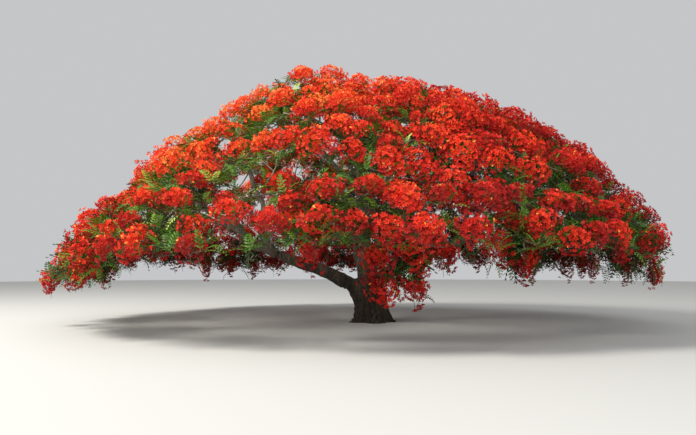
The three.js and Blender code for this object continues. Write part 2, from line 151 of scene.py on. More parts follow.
# Stems, twigs and the heads that they carry, by the rule of the solids
STEM = Sizes(thick=0.04, thin=0.03, swing=1.4, out=0.4, steps=2)
TWIG = Sizes(thick=0.026, thin=0.016, roots=0.5, place=0.7)
HEAD = Sizes(least=0.365, rise=0.5, over=0.75, spread=0.15)
OUTWARD = 0.25
DIRECTIONS = 90
PULLS = np.array([1, 0.92, 0.84, 0.76, 0.68])
LEAF_PLACE = 0.33
LEAF_PLACES = 1
DRAWS_A_TWIG = 4  # two of them shape the solids alone
MARGIN = 0.025
CLEAR_SHARES = np.array([0.2, 0.4, 0.6, 0.8, 1])[:, None]  # where a twig's room is looked at

# The finer wood
STEM_LOOKS = np.linspace(0.3, 1, 15)  # where a stem's height is looked at
STEM_OVER_FLOOR = 0.3  # it ends where it comes as near as this to the mass's lower edge
HUB = np.array([-0.3, 0.0, 2.2])  # fine twigs run outward from here
HUB_AHEAD = 0.15
NODES_ON_STEM = (0.2, 9)  # from this share of its length on, and how many
NODES_ON_BOUGH = np.linspace(0.55, 0.98, 7)
NODES_ON_TWIG = np.array([0.4, 0.6, 0.8, 1])[:, None]
TWIG_BEND = Sizes(loose=0.035, up=0.05)
FINE = Sizes(thick=0.012, thicker=0.02, thin=0.008, loose=0.06, inward=0.12)  # thicker for each metre
HANGING_TWIG = Sizes(over=0.3, share=0.8, thick=0.009, thin=0.004, bend=0.1)
TWIG_SIDES = {"twig": (5, 6), "fine": (3, 4)}
TWIG_BARK = {"shaded": (84, 73, 61), "sunlit": (138, 125, 108)}
TWIG_ROUGH = 0.85
SUNLIT_OVER = 3.4  # twigs that end higher than this are paler
TUBES = table(
    "rings sides wander swell closing",
    limbs=(40, 20, 0.035, 0.28, 0.05),
    boughs=(44, 14, 0.09, None, 0),
    stems=(14, 8, 0.03, 0.45, 0.3),
)
BOUGH_ROOT = 0.92  # against its limb's tip
COLLAR_LENGTH = 0.09
CLOSED_TO = 0.25
KNUCKLES = Sizes(deep=0.05, waves=(23, 9), shift=5)
SWAYS = [(11, 1.0, 1.0), (9, 1.7, 1.0), (13, 0.6, 0.6)]  # waves, shift and size along each axis
VOXEL = 0.023
SOFTENED = Sizes(factor=0.5, times=5)
RELIEF_TOP = 1.5

# Clumps, sprigs and tufts of leaves: over and kept are for the dense crown and for the open
CLUMPS = Sizes(radius=(0.28, 0.54), rise=0.8, round=radians(102), stretch=(0.78, 1.28), over=(0.78, 1.06))
SPRIGS = Sizes(radius=(0.14, 0.25), over=(0.7, 0.9), share=(0.02, 0.09), y=(-2, 3))  # a share at each Y
TUFTS = Sizes(radius=(0.18, 0.34), over=(0.6, 0.6), kept=(0.6, 1.0))
AXIS_LOOSE = 0.16
ON_HEAD = Sizes(count=26, round=radians(95), wide=(0.8, 1.1), narrower=0.3, high=(0.5, 1.15), lower=0.12)
HEAD_LEAN = (0.8, 0.45)  # outward and up
FILL = Sizes(count=320, low=-0.05, pulls=(1.0, 0.86, 0.68), loose=(0.95, 1.03), away=0.7, out=0.6)
FILL_UP = (0.75, 0.65)  # how upright clumps are, and how much less so where they hang
FILL_ROOM = 0.12
LIMB_ROOM = 0.1
ON_DOME = Sizes(tried=9000, depth=(-0.1, 0.65), near=3.0)
UNDER_DOME = Sizes(tried=3000, depth=(0.45, 1.0), apart=0.62)  # a layer of leaves, painted dark for the shade deep in the crown
INNER = Sizes(count=15, pull=(0.35, 0.84), low=0.1, out=0.3, past_stem=0.1)
HANGING = (2.8, 1.7)  # clumps stand over the first height, and hang under the second
HANG = Sizes(longer=0.52, narrower=0.5, crowded=0.45, round=0.6, deeper=0.3, nodding=0.3)
FLOOR_UNDER = 0.26  # how far a hanging clump may pass the lower edge
ROOT_SUNK = 0.4

# The outline: how far clumps and flowers may rise over the dome, in its middle and at its edge
CLUMPS_OVER = (0.4, 0.12)
FLOWERS_OVER = (0.55, 0.3)
DOME_EDGE = (0.985, 1.085)  # how far out a clump reaches on the -X and +X sides
EDGE_WIDER = (1.07, 1.07, 1)  # flowers keep to a dome so much wider
BOX_ALLOWANCE = np.array([0.4, 0.34, 0.14])  # for flowers and leaves outside the solids' box
OVER_GROUND = 0.02
# Rises of the crown over its dome, and a dip
SWELLS = table(
    "x y wide high",
    left=(-2.15, -1.3, 1.4, 0.5),
    far_right=(5.0, -0.4, 1.2, 0.5),
    far_left=(-6.9, -0.2, 0.9, 0.35),
    dip=(0.9, -0.3, 0.8, -0.2),
)
# The crown is open where X is under the first of these and dense where it is over the second
OPEN_SIDE = (-4.5, 1.5)
# It is open too where X is over the first of these and Z under the second, and dense behind OPEN_FRONT
OPEN_LOW_RIGHT = (1.5, 4.0)
OPEN_FRONT = 2.0
OPEN_FADE = 3
# Where the sky shows through: X, Z and half the width at the trunk's distance
OPENINGS = [
    (-4.28, 5.05, 0.2), (-3.7, 4.02, 0.24), (-3.13, 3.25, 0.22), (-2.88, 5.45, 0.2), (-2.25, 5.95, 0.15),
    (-2.19, 4.33, 0.22), (-1.11, 5.07, 0.22), (-1.43, 5.73, 0.2), (-0.48, 5.87, 0.2), (0.0, 6.6, 0.15),
    (0.91, 5.62, 0.14), (3.2, 4.5, 0.14),
]
OPENING_KEEPS = 0.4  # the share of a clump that keeps out of them

# Flowers. A petal's corners are outward, aside and up, in flower radii
PETAL = [(0.08, 0, -0.15), (0.6, 0.31, 0.5), (0.98, 0, 0.55), (0.56, -0.32, 0.47)]
PETALS = 5
PETAL_LOOSE = 0.0025
FLOWER_RADIUS = 0.066
FLOWER_SIZES = (0.8, 1.15)
FLOWERS = Sizes(in_clump=680, least=12, reach=(0.66, 1.06), loose=0.24)  # as many for a radius of one metre
BACK = Sizes(behind=1, fuller=0.25)
LOBES = [(3, 0.2), (5, 0.14)]  # round a clump's rim, with their depths
# From the darkest to the brightest, with the share of the petals that are no brighter
# The tints are dealt out by painted light, brighter high up, to the left and on top of each clump, and by
# random tone
PETAL_TINTS = {
    "wine": ((140, 18, 12), 0.13),
    "crimson": ((168, 22, 13), 0.38),
    "scarlet": ((200, 34, 17), 0.64),
    "vermilion": ((224, 54, 23), 0.86),
    "flame": ((240, 86, 36), 0.965),
    "orange": ((248, 130, 56), 1.0),
    "standard": ((250, 160, 66), 1.0),
}
PALE = (0.003, 0.03)  # share with a standard, and how much more for each brighter tint, which adds to the painted light
# Painted light on the flowers by height, by X and on each clump's top; clump and flower add random tone
FLOWER_LIGHT_AND_TONE = Sizes(height=0.34, left=0.1, up=0.28, clump=0.07, flower=0.06)
PETAL_LOOK = Sizes(one="petal", many="petals", slot="blossom", rough=0.62)
# The two faces of a petal or leaflet, by the side that they face
KITE = {"over": np.array([(0, 1, 2), (0, 2, 3)]), "under": np.array([(0, 3, 2), (0, 2, 1)])}

# Leaves
LEAFLET_PAIRS = 6
LEAFLETS_FROM = 0.14
# bright is where a kind's leaves start among the tints; inner tufts, at 0, are painted dark for the shade
# deep in the crown
FRONDS = table(
    "count length lift bright",
    blossom=(7, 0.37, (0.0, 0.5), 0.3),
    sprig=(2, 0.33, (0.0, 0.6), 0.4),
    tuft=(6, 0.37, (0.0, 0.95), 0.62),
    inner=(5, 0.52, (0.0, 0.9), 0.0),
)
RIM_FRONDS = 4  # leaves round the rim of a clump of flowers
FROND_SIZES = (0.8, 1.2)
CORES = table("lift length", standing=((0.2, 1.8), 0.95), hanging=((-1.6, 0.8), 1.1))
FROND_ROOTS = Sizes(middle=0.08, rim=0.5, sunk=0.2, sunk_in_blossom=0.1)
FROND_LOOSE = 0.25
# Tufts start so far over the lower edge, few leaves pass it, and none stands out over the dome
LEAVES = Sizes(floor=0.1, hanging=0.03, over=0.15, edge=0.985, clear=0.05)
# From the darkest to the brightest, dealt out by painted light and shade and by random tone
LEAF_TINTS = {
    "dark": ((40, 62, 17), 0.26),
    "deep": ((60, 92, 24), 0.56),
    "mid": ((84, 124, 33), 0.86),
    "fresh": ((116, 150, 40), 0.98),
    "lime": ((168, 192, 84), 1.0),
}
# Painted light on the leaves by height and by X; clump and leaf add random tone
LEAF_LIGHT_AND_TONE = Sizes(height=0.25, left=0.02, clump=0.12, leaf=0.1)
LEAF_LOOK = Sizes(one="leaf", many="leaves", slot="leaf", rough=0.55)

# Bark, and how much plain surfaces shine
PLAIN_SHINE = 0.3
DARK_BARK = (70, 60, 51)
PALE_BARK = (148, 136, 120)
LICHEN = (166, 160, 142)
CRACK_SHADE = 0.6
LOW_SHADE = (122, 116, 110)
SHADE_RISE = (0.9, 3.4)  # the shade is gone between these heights
BARK_STRETCH = (1, 1, 0.45)
FISSURES = (1, 1, 0.16)

# Stage
FLOOR = Sizes(radius=60.0, sides=96, drop=0.003, colour=(202, 202, 198), rough=0.9)
SKY = Sizes(colour=(0.9, 0.91, 0.93, 1), strength=0.62)
LAMPS = table(
    "place aim size power colour",
    key=((-20.8, -11.2, 24.1), 2.5, 11.2, 11200, (1.0, 0.96, 0.9)),
    fill=((1.8, -34, 9), 2.2, 17, 4700, (0.95, 0.97, 1.0)),
)
CAMERA = Sizes(place=np.array([-0.68, -18.0, 1.54]), pitch=radians(4.45), lens=32.7, film=36, sees=200)

Clump = namedtuple("Clump", "kind centre axis radius floor")


def unit(vectors):
    vectors = np.asarray(vectors, float)
    return vectors / np.maximum(norm(vectors, axis=-1, keepdims=True), 1e-12)


def level(azimuth):
    return np.array([cos(radians(azimuth)), sin(radians(azimuth)), 0.0])


def turns(count):
    return np.arange(count) * FULL_TURN / count


def gathered(rows):
    return [np.concatenate(column) for column in zip(*rows)]


def seeded(state):
    """A stream of numbers from 0 to 1 that is the same every time."""
    while True:
        state = state * STREAM.factor % STREAM.modulus
        yield state / STREAM.modulus


# The dome and the masses on it


def dome_height(share, cosine):
    """The dome's height by share of the spread. It falls faster on the -X side."""
    fall = np.maximum(0.0, 1 - np.minimum(share, 1) ** DOME.round) ** (DOME.fall - DOME.lean * cosine)
    return CROWN_EDGE + (CROWN_TOP - CROWN_EDGE) * fall


def dome_point(azimuth, share):
    height = dome_height(share, cos(radians(azimuth)))
    return level(azimuth) * share * (SPREAD_X, SPREAD_Y, 0) + (CROWN_SHIFT, 0, height)


def dome_axes(azimuth, share):
    """Directions on the dome: across it on the level, down its slope and out of it."""
    lower = dome_point(azimuth, min(share + DOME.step, 1))
    down = unit(lower - dome_point(azimuth, max(share - DOME.step, 0)))
    across = np.cross(UP, level(azimuth))
    return across, down, unit(np.cross(down, across))


def ring_mass(ring_name, number, draw):
    ring = RINGS[ring_name]
    azimuth = ring.turn + number * 360 / ring.count + UNEVEN.azimuth * (2 * next(draw) - 1)
    share = ring.share
    if ring.count > 1:
        share += UNEVEN.share * (2 * next(draw) - 1)
    across, down, out = dome_axes(azimuth, share)
    heart = dome_point(azimuth, share) - ring.deep * out
    mass = Sizes(**vars(ring), ring=ring_name, heart=heart, across=across, down=down, out=out)
    mass.name = ring_name if mass.count == 1 else f"{ring_name}_{number + 1}"
    mass.below, mass.floor = mass.along, CROWN_EDGE
    if ring_name == "hem":
        mass.floor = HEM_LINE[number]
        mass.below = (heart[2] - mass.floor - HEAD.least) / -down[2]
    return mass


def weeping_mass(name, spray):
    mass = Sizes(**vars(spray), name=name, ring="hem", down=-UP, below=spray.along)
    mass.heart = np.array(mass.heart)
    mass.out = unit(mass.heart * (1, 1, 0))
    mass.across = np.cross(UP, mass.out)
    mass.floor = mass.heart[2] - mass.along - HEAD.least
    return mass


def all_masses():
    draw = seeded(UNEVEN.seed)
    masses = [ring_mass(name, number, draw) for name, ring in RINGS.items() for number in range(ring.count)]
    masses += [weeping_mass(name, spray) for name, spray in WEEPING.items()]
    for index, mass in enumerate(masses):
        mass.index = index
        mass.seed = FIRST_SEED + SEED_STEP * (index + 1)
        mass.bloom = LEAFY.get(mass.name, BLOOM)
    return masses


# Limbs, boughs and stems are tapering tubes on curves


class Limb:
    """A tapering limb on a curve, with a direction given for each end."""

    end = 1.0  # the share of its length that shows

    def __init__(self, name, start, leaving, end, arriving, size, parent=None, serves=None):
        span = norm(end - start)
        leave, arrive = unit(leaving) * span * LIMB.leave, unit(arriving) * span * LIMB.arrive
        self.handles = [start, start + leave, end - arrive, end]
        self.name, self.parent, self.serves = name, parent, serves
        self.thick, self.thin = size.thick, size.thin
        self.tip, self.heading = end, unit(arriving)
        self.shares = np.linspace(0, 1, LIMB.steps + 1)
        steps = norm(np.diff(self.points(self.shares), axis=0), axis=1)
        self.lengths = np.concatenate([[0], np.cumsum(steps)])

    def points(self, shares):
        a, b, c, d = self.handles
        t = np.asarray(shares, float)[..., None]
        return a * (1 - t) ** 3 + 3 * b * t * (1 - t) ** 2 + 3 * c * t**2 * (1 - t) + d * t**3

    def at(self, shares):
        return self.points(np.interp(np.asarray(shares) * self.lengths[-1], self.lengths, self.shares))


def trunk_limbs():
    limbs = []
    for side, spec in LIMBS.items():
        outward = level(spec.azimuth)
        tip = outward * spec.reach + UP * spec.height
        leaving, arriving = outward + UP * spec.steep, outward + UP * LIMB.rise
        limbs.append(Limb(f"limb_{side}", FORK, leaving, tip, arriving, spec))
    return [*limbs, Limb("leader", FORK, UP, np.array(LEADER.tip), UP, LEADER)]


def bough(ring, side, parent, azimuth):
    spec = BOUGHS[ring]
    tip = dome_point(azimuth, spec.share) - UP * spec.below
    start = parent.tip - parent.heading * spec.thick * LIMB.sunk
    leaving = parent.heading + unit(tip - parent.tip)
    arriving = level(azimuth) + UP * spec.rise
    return Limb(f"bough_{ring}_{side}", start, leaving, tip, arriving, spec, parent, ring)


def all_boughs(limbs):
    boughs = []
    for parent, (side, limb) in zip(limbs, LIMBS.items()):
        for letter, turn in HEM_TURNS.items():
            boughs.append(bough("hem", f"{side}_{letter}", parent, limb.azimuth + turn))
        boughs.append(bough("shoulder", side, parent, limb.azimuth))
    return boughs + [bough("crest", side, limbs[-1], azimuth) for side, azimuth in CREST_AZIMUTHS.items()]


def carrier_of(mass, limbs, boughs):
    """The leader carries the top, and the nearest bough of its ring any other mass."""
    if mass.ring == "top":
        return limbs[-1]
    able = [one for one in boughs if one.serves == mass.ring]
    return min(able, key=lambda one: norm(one.tip - mass.heart))


def stem_of(mass, carrier):
    """A mass's stem. It ends in the mass's heart, or before it near the lower edge."""
    start = carrier.tip - carrier.heading * STEM.thick * LIMB.sunk
    towards = unit(mass.heart - start)
    leaving = carrier.heading + towards * STEM.swing
    arriving = towards + mass.out * STEM.out
    stem = Limb(mass.name, start, leaving, mass.heart, arriving, STEM, carrier)
    low = stem.at(STEM_LOOKS)[:, 2] < mass.floor + STEM_OVER_FLOOR
    if low.any():
        stem.end = float(STEM_LOOKS[low][0])
    return stem


# Directions


def basis(axis):
    """Two directions square to an axis, or to each of several, and to each other."""
    axis = np.asarray(axis, float)
    helper = np.where(np.abs(axis[..., 2:3]) < 0.9, UP, np.array([1.0, 0, 0]))
    side = unit(np.cross(helper, axis))
    return side, np.cross(axis, side)


def sideways(axis, first, second):
    """So far along one direction square to an axis, and so far along the other."""
    side_a, side_b = basis(axis)
    return first[:, None] * side_a + second[:, None] * side_b


def cap(count, lowest, turn, shift=0):
    """Directions spread evenly over a cap round +Z: sideways, sideways and up."""
    number = np.arange(count) + 0.5
    up = 1 - (1 - lowest) * number / count
    aside = np.sqrt(1 - up**2)
    spin = (number - shift) * GOLDEN_ANGLE + turn
    return np.cos(spin) * aside, np.sin(spin) * aside, up


# Room to grow: a mass's space is every place nearer to its own heart than to another's


class Space:
    """The room round any place in the crown."""

    def __init__(self, masses, wood):
        self.hearts = np.array([mass.heart for mass in masses])
        cuts = np.arange(LIMB.pieces + 1) / LIMB.pieces
        lines = np.array([one.at(cuts) for one in wood])
        self.starts, self.ends = lines[:, :-1].reshape(-1, 3), lines[:, 1:].reshape(-1, 3)
        self.radii = np.array([one.thick + (one.thin - one.thick) * cuts[:-1] for one in wood]).ravel()
        self.owners = np.repeat([one.name for one in wood], LIMB.pieces)

    def wall_room(self, mass, points):
        others = np.delete(self.hearts, mass.index, axis=0)
        middles = (others + mass.heart) / 2
        return ((middles[None] - points[:, None]) * unit(others - mass.heart)).sum(-1).min(1)

    def limb_room(self, mass, points):
        others = self.owners != mass.name
        along = self.ends[others] - self.starts[others]
        offset = points[:, None] - self.starts[others]
        share = (offset * along).sum(-1) / np.maximum((along**2).sum(-1), 1e-12)
        gaps = norm(offset - np.clip(share, 0, 1)[..., None] * along, axis=-1)
        return (gaps - self.radii[others]).min(1)

    def room(self, mass, points):
        return np.minimum(self.wall_room(mass, points), self.limb_room(mass, points)) - MARGIN


def reaches(mass, count, lowest, turn):
    """How far a mass reaches, in directions spread evenly over its upper side."""
    aside, downslope, lift = cap(count, lowest, turn, 0.5)
    slope = downslope * np.where(downslope > 0, mass.below, mass.along)
    level_part = (aside * mass.wide)[:, None] * mass.across
    return level_part + slope[:, None] * mass.down + (lift * mass.deep)[:, None] * mass.out


def twigs_of(mass, space):
    """A mass's twigs by the rule of the solids, largest heads and furthest places first."""
    draw = seeded(mass.seed)
    reach = reaches(mass, DIRECTIONS, mass.low, mass.seed)
    headings = np.repeat(unit(reach), len(PULLS), axis=0)
    ends = mass.heart + (reach[:, None] * PULLS[:, None]).reshape(-1, 3)
    far = (norm(reach, axis=1)[:, None] * PULLS).ravel()
    room = space.room(mass, ends)
    clear = np.full(len(ends), np.inf)
    twigs, bare = [], 0
    while True:
        shrink, kind, *_ = [next(draw) for _ in range(DRAWS_A_TWIG)]
        radius = np.minimum(np.minimum(mass.most * (1 - HEAD.spread * shrink), room), clear / HEAD.over)
        score = np.where(radius >= LEAF_PLACE, radius + OUTWARD * far, -np.inf)
        best = int(score.argmax())
        blossoms = radius[best] >= HEAD.least and kind < mass.bloom
        bare += not blossoms
        if not np.isfinite(score[best]) or (not blossoms and bare > LEAF_PLACES and mass.bloom >= BLOOM):
            break
        size = radius[best] if blossoms else min(radius[best], HEAD.least)
        twigs.append(Sizes(end=ends[best], heading=headings[best], radius=size, blossoms=blossoms))
        clear = np.minimum(clear, norm(ends - ends[best], axis=1) - size)
    return sorted(twigs, key=lambda twig: float(twig.heading @ mass.out))


def on_stem(stem, share):
    """A place on the straight pieces of a stem, by its share of their number."""
    steps = np.arange(STEM.steps + 1)
    corners = stem.at(steps / STEM.steps)
    return np.array([np.interp(share * STEM.steps, steps, axis) for axis in corners.T])


# Sprays: umbrellas of flowers, and tufts of leaves


def openness(points):
    """From 0 where the crown is dense to 1 where it is open."""
    x, y, z = points.T
    left = np.clip((OPEN_SIDE[1] - x) / (OPEN_SIDE[1] - OPEN_SIDE[0]), 0, 1)
    right = np.clip((x - OPEN_LOW_RIGHT[0]) / OPEN_FADE, 0, 1) * np.clip(OPEN_LOW_RIGHT[1] - z, 0, 1)
    return np.maximum(left, right) * np.clip((OPEN_FRONT - y) / OPEN_FADE, 0, 1)


def between(pair, share):
    return pair[0] + (pair[1] - pair[0]) * share


def in_opening(points, radius):
    """True for balls that would stand in a line of sight that stays open."""
    sight = points - CAMERA.place
    scale = -CAMERA.place[1] / sight[:, 1]
    at_trunk = CAMERA.place + sight * scale[:, None]
    blocks = np.zeros(len(points), bool)
    for x, z, half in OPENINGS:
        blocks |= np.hypot(at_trunk[:, 0] - x, at_trunk[:, 2] - z) < half + OPENING_KEEPS * radius * scale
    return blocks


def hanging(points):
    """From 0 for clumps that stand up to 1 for the lowest, which hang."""
    return np.clip((HANGING[0] - np.atleast_2d(points)[:, 2]) / (HANGING[0] - HANGING[1]), 0, 1)


def dome_over(points, over=(0, 0)):
    """The height over points of the dome with its swells, raised a little, and their share of the spread."""
    offset = (points - (CROWN_SHIFT, 0, 0)) / (SPREAD_X, SPREAD_Y, 1)
    share = np.hypot(offset[:, 0], offset[:, 1])
    height = dome_height(share, offset[:, 0] / share)
    for swell in SWELLS.values():
        away = np.hypot(points[:, 0] - swell.x, points[:, 1] - swell.y) / swell.wide
        height = height + swell.high * np.exp(-(away**2))
    return height + np.interp(share, (0, 1), over), share


def under_dome(points, sizes):
    """True for clumps that keep to the dome."""
    height, share = dome_over(points, CLUMPS_OVER)
    low = points[:, 2] + sizes * CLUMPS.rise < height
    edge = np.interp(points[:, 0], (-SPREAD_X, SPREAD_X), DOME_EDGE)
    return low & (share + sizes / SPREAD_X < edge)


def spread_on_dome(count, depth, rng):
    """Places all over the dome, between two depths under it."""
    angles = rng.uniform(0, FULL_TURN, count)
    shares = np.sqrt(rng.uniform(0, 1, count))
    x, y = np.cos(angles) * shares * SPREAD_X + CROWN_SHIFT, np.sin(angles) * shares * SPREAD_Y
    places = np.stack([x, y, np.zeros(count)], axis=1)
    places[:, 2] = dome_over(places)[0] - rng.uniform(*depth, count)
    return places


def places_under_dome(rng):
    """Places spread evenly in a layer under the dome."""
    places = spread_on_dome(UNDER_DOME.tried, UNDER_DOME.depth, rng)
    sizes = np.full(len(places), UNDER_DOME.apart / 2)
    return places[Packing().take(places, sizes, np.ones(len(places)))]


class Packing:
    """Balls that keep their distance from each other, over the whole crown."""

    def __init__(self):
        self.places, self.sizes = np.empty((0, 3)), np.empty(0)

    def take(self, places, sizes, over):
        """True for each place that keeps its distance from all taken before it."""
        taken = np.zeros(len(places), bool)
        for number, (place, size) in enumerate(zip(places, sizes)):
            gaps = norm(self.places - place, axis=1)
            taken[number] = (gaps > over[number] * (self.sizes + size)).all()
            if taken[number]:
                self.places = np.vstack([self.places, place])
                self.sizes = np.append(self.sizes, size)
        return taken


def head_places(mass, twig, rng):
    """Places and axes of the clumps that a head of blossom breaks up into."""
    count = ON_HEAD.count
    axis = unit(twig.heading + UP + mass.out)
    out_a, out_b, up = cap(count, cos(ON_HEAD.round), rng.uniform(0, 6))
    wide = (twig.radius - ON_HEAD.narrower) * rng.uniform(*ON_HEAD.wide, count)
    high = (twig.radius * HEAD.rise - ON_HEAD.lower) * rng.uniform(*ON_HEAD.high, count)
    outward = sideways(axis, out_a, out_b)
    places = twig.end + outward * wide[:, None] + (up * high)[:, None] * axis
    return places, outward * HEAD_LEAN[0] + up[:, None] * axis + HEAD_LEAN[1] * UP


def fill_places(mass, dome_places, rng):
    """Places and axes between a mass's heads, in its reach and on the dome near it."""
    reach = reaches(mass, FILL.count, min(mass.low, FILL.low), rng.uniform(0, 6))
    pulls = rng.choice(FILL.pulls, len(reach))[:, None] * rng.uniform(*FILL.loose, (len(reach), 1))
    near = dome_places[norm(dome_places - mass.heart, axis=1) < ON_DOME.near]
    places = np.concatenate([mass.heart + reach * pulls, near])
    upward = (FILL_UP[0] - FILL_UP[1] * hanging(places)[:, None]) * UP
    return places, unit(places - mass.heart) * FILL.away + upward + mass.out * FILL.out


def free_places(mass, twigs, crown, rng):
    """Places, axes and sizes for a mass's clumps, first over its heads and then between them."""
    found = [head_places(mass, twig, rng) for twig in twigs if twig.blossoms]
    on_heads = sum(len(places) for places, _ in found)
    found.append(fill_places(mass, crown.on_dome, rng))
    places, axes = gathered(found)
    sizes = rng.uniform(*CLUMPS.radius, len(places))
    able = crown.space.wall_room(mass, places) > -FILL_ROOM
    able &= crown.space.limb_room(mass, places) > LIMB_ROOM
    able[:on_heads] = True
    lowest = places[:, 2] - sizes * (1 + HANG.longer * hanging(places))
    able &= under_dome(places, sizes) & (lowest > mass.floor - FLOOR_UNDER) & ~in_opening(places, sizes)
    return places[able], axes[able], sizes[able]


def inner_places(mass, crown, rng):
    """Places and axes for tufts deep in a mass and under the dome over it, painted dark for the shade there.
    """
    reach = reaches(mass, INNER.count, max(mass.low, INNER.low), rng.uniform(0, 6))
    own = crown.under_dome[crown.space.wall_room(mass, crown.under_dome) > 0]
    places = np.concatenate([mass.heart + reach * rng.uniform(*INNER.pull, (INNER.count, 1)), own])
    clear = (crown.space.limb_room(mass, places) > LIMB_ROOM) & ~in_opening(places, TUFTS.radius[1])
    places = places[clear & (places[:, 2] > mass.floor + LEAVES.floor)]
    return places, unit(places - mass.heart + INNER.out * mass.out)


def clumps_of(mass, twigs, crown, rng):
    """A mass's clumps of blossom, sprigs and tufts of leaves in the gaps, and tufts inside painted dark for
    the shade.
    """
    places, axes, sizes = free_places(mass, twigs, crown, rng)
    open_share = openness(places)

    def pack(chosen, over):
        chosen[chosen] = crown.packing.take(places[chosen], sizes[chosen], between(over, open_share[chosen]))

    blooms = rng.uniform(size=len(places)) < mass.bloom / BLOOM
    pack(blooms, CLUMPS.over)
    sizes[~blooms] = rng.uniform(*SPRIGS.radius, (~blooms).sum())
    sprigs = ~blooms & (rng.uniform(size=len(places)) < np.interp(places[:, 1], SPRIGS.y, SPRIGS.share))
    pack(sprigs, SPRIGS.over)
    leafy = ~blooms & ~sprigs
    sizes[leafy] = rng.uniform(*TUFTS.radius, leafy.sum())
    pack(leafy, TUFTS.over)
    leafy &= rng.uniform(size=len(places)) < between(TUFTS.kept, open_share)
    leafy &= places[:, 2] > mass.floor + LEAVES.floor
    rows = []
    for kind, chosen in {"blossom": blooms, "sprig": sprigs, "tuft": leafy}.items():
        rows += [(kind, *row) for row in zip(places[chosen], axes[chosen], sizes[chosen])]
    rows += [("inner", *row, TUFTS.radius[1]) for row in zip(*inner_places(mass, crown, rng))]
    loose = [unit(axis + rng.normal(0, AXIS_LOOSE, 3)) for _, _, axis, _ in rows]
    return [Clump(kind, place, axis, size, mass.floor) for (kind, place, _, size), axis in zip(rows, loose)]


class Crown:
    """The room in the crown, and every clump and twig that grows in it."""

    def __init__(self, masses, wood):
        self.space, self.packing = Space(masses, wood), Packing()
        self.clumps, self.lines = [], {kind: [] for kind in TWIG_SIDES}
        rng = np.random.default_rng(UNEVEN.seed)
        self.on_dome = spread_on_dome(ON_DOME.tried, ON_DOME.depth, rng)
        self.under_dome = places_under_dome(rng)

    def line(self, kind, start, end, thick, thin, bend):
        self.lines[kind].append((start, (start + end) / 2 + bend, end, thick, thin))


def nearest_node(nodes, target):
    """Where a new twig leaves those so far: near, and nearer the hub than its end."""
    ahead = norm(nodes - HUB, axis=1) - norm(target - HUB) + HUB_AHEAD
    return nodes[(norm(nodes - target, axis=1) + 2 * np.maximum(ahead, 0)).argmin()]


def grow_twigs(mass, stem, crown, rng):
    """The twigs of a mass that run clear, and the places that finer twigs may leave."""
    start, count = NODES_ON_STEM
    nodes = [*stem.at(np.linspace(start, stem.end, count)), *stem.parent.at(NODES_ON_BOUGH)]
    twigs = []
    found = twigs_of(mass, crown.space)
    for number, twig in enumerate(found):
        place = (number + TWIG.place) / len(found)
        root = on_stem(stem, stem.end * (TWIG.roots + (1 - TWIG.roots) * place))
        along = twig.end - root
        if (crown.space.room(mass, root + along * CLEAR_SHARES) <= TWIG.thick).any():
            continue
        twigs.append(twig)
        bend = (rng.normal(0, TWIG_BEND.loose, 3) + UP * TWIG_BEND.up) * norm(along)
        crown.line("twig", root, twig.end, TWIG.thick, TWIG.thin, bend)
        nodes += list(root + along * NODES_ON_TWIG + bend * (1 - (2 * NODES_ON_TWIG - 1) ** 2))
    return twigs, np.array(nodes)


def grow_mass(mass, stem, crown):
    """Grows a mass: its twigs, its clumps, and a fine twig to each clump, nearest first."""
    rng = np.random.default_rng(mass.seed)
    twigs, nodes = grow_twigs(mass, stem, crown, rng)
    clumps = clumps_of(mass, twigs, crown, rng)
    tip = stem.at(np.array([stem.end]))[0] + stem.heading * INNER.past_stem
    clumps.append(Clump("inner", tip, stem.heading, TUFTS.radius[1], mass.floor))
    clumps.sort(key=lambda clump: norm(clump.centre - mass.heart))
    for clump in clumps:
        root = clump.centre - clump.axis * clump.radius * ROOT_SUNK
        start = nearest_node(nodes, root)
        length = norm(root - start)
        outward = unit(root - HUB)
        bend = (rng.normal(0, FINE.loose, 3) - outward * FINE.inward) * length
        crown.line("fine", start, root, FINE.thick + FINE.thicker * length, FINE.thin, bend)
        nodes = np.vstack([nodes, root, (root + start) / 2 + bend])
        if clump.kind == "blossom" and hanging(root)[0] > HANGING_TWIG.over:
            lower = clump.centre - UP * clump.radius * (1 + HANG.longer * HANGING_TWIG.share)
            bend = outward * HANGING_TWIG.bend * clump.radius
            crown.line("fine", root, lower, HANGING_TWIG.thick, HANGING_TWIG.thin, bend)
    crown.clumps += clumps


# Meshes from arrays


def in_scene(name, data):
    made = bpy.data.objects.new(name, data)
    bpy.context.scene.collection.objects.link(made)
    return made


def mesh_piece(name, vertices, polygons, material, smooth=False):
    """One object from an array of vertices and a list of arrays of polygons."""
    mesh = bpy.data.meshes.new(name)
    faces = [face for group in polygons for face in group.tolist()]
    mesh.from_pydata(vertices, [], faces, shade_flat=not smooth)
    mesh.validate()
    mesh.materials.append(material)
    return in_scene(name, mesh)


def copies(template, places, axes, sizes):
    """Copies (N, T, 3) of a template of T points, turned to the axes at N places."""
    return places[:, None] + np.einsum("td,ndk->ntk", template, np.stack(axes, axis=1) * sizes[:, None, None])


def tube_faces(count, rings, sides):
    """The faces along closed tubes, and a cap at both ends."""
    start = np.arange(count)[:, None] * rings * sides
    ring = np.arange(rings - 1)[:, None] * sides
    turn = np.arange(sides)
    following = (turn + 1) % sides
    quads = np.stack([ring + turn, ring + following, ring + sides + following, ring + sides + turn], axis=-1)
    quads = (start[..., None, None] + quads).reshape(-1, 4)
    return [quads, start + turn[::-1], start + (rings - 1) * sides + turn]


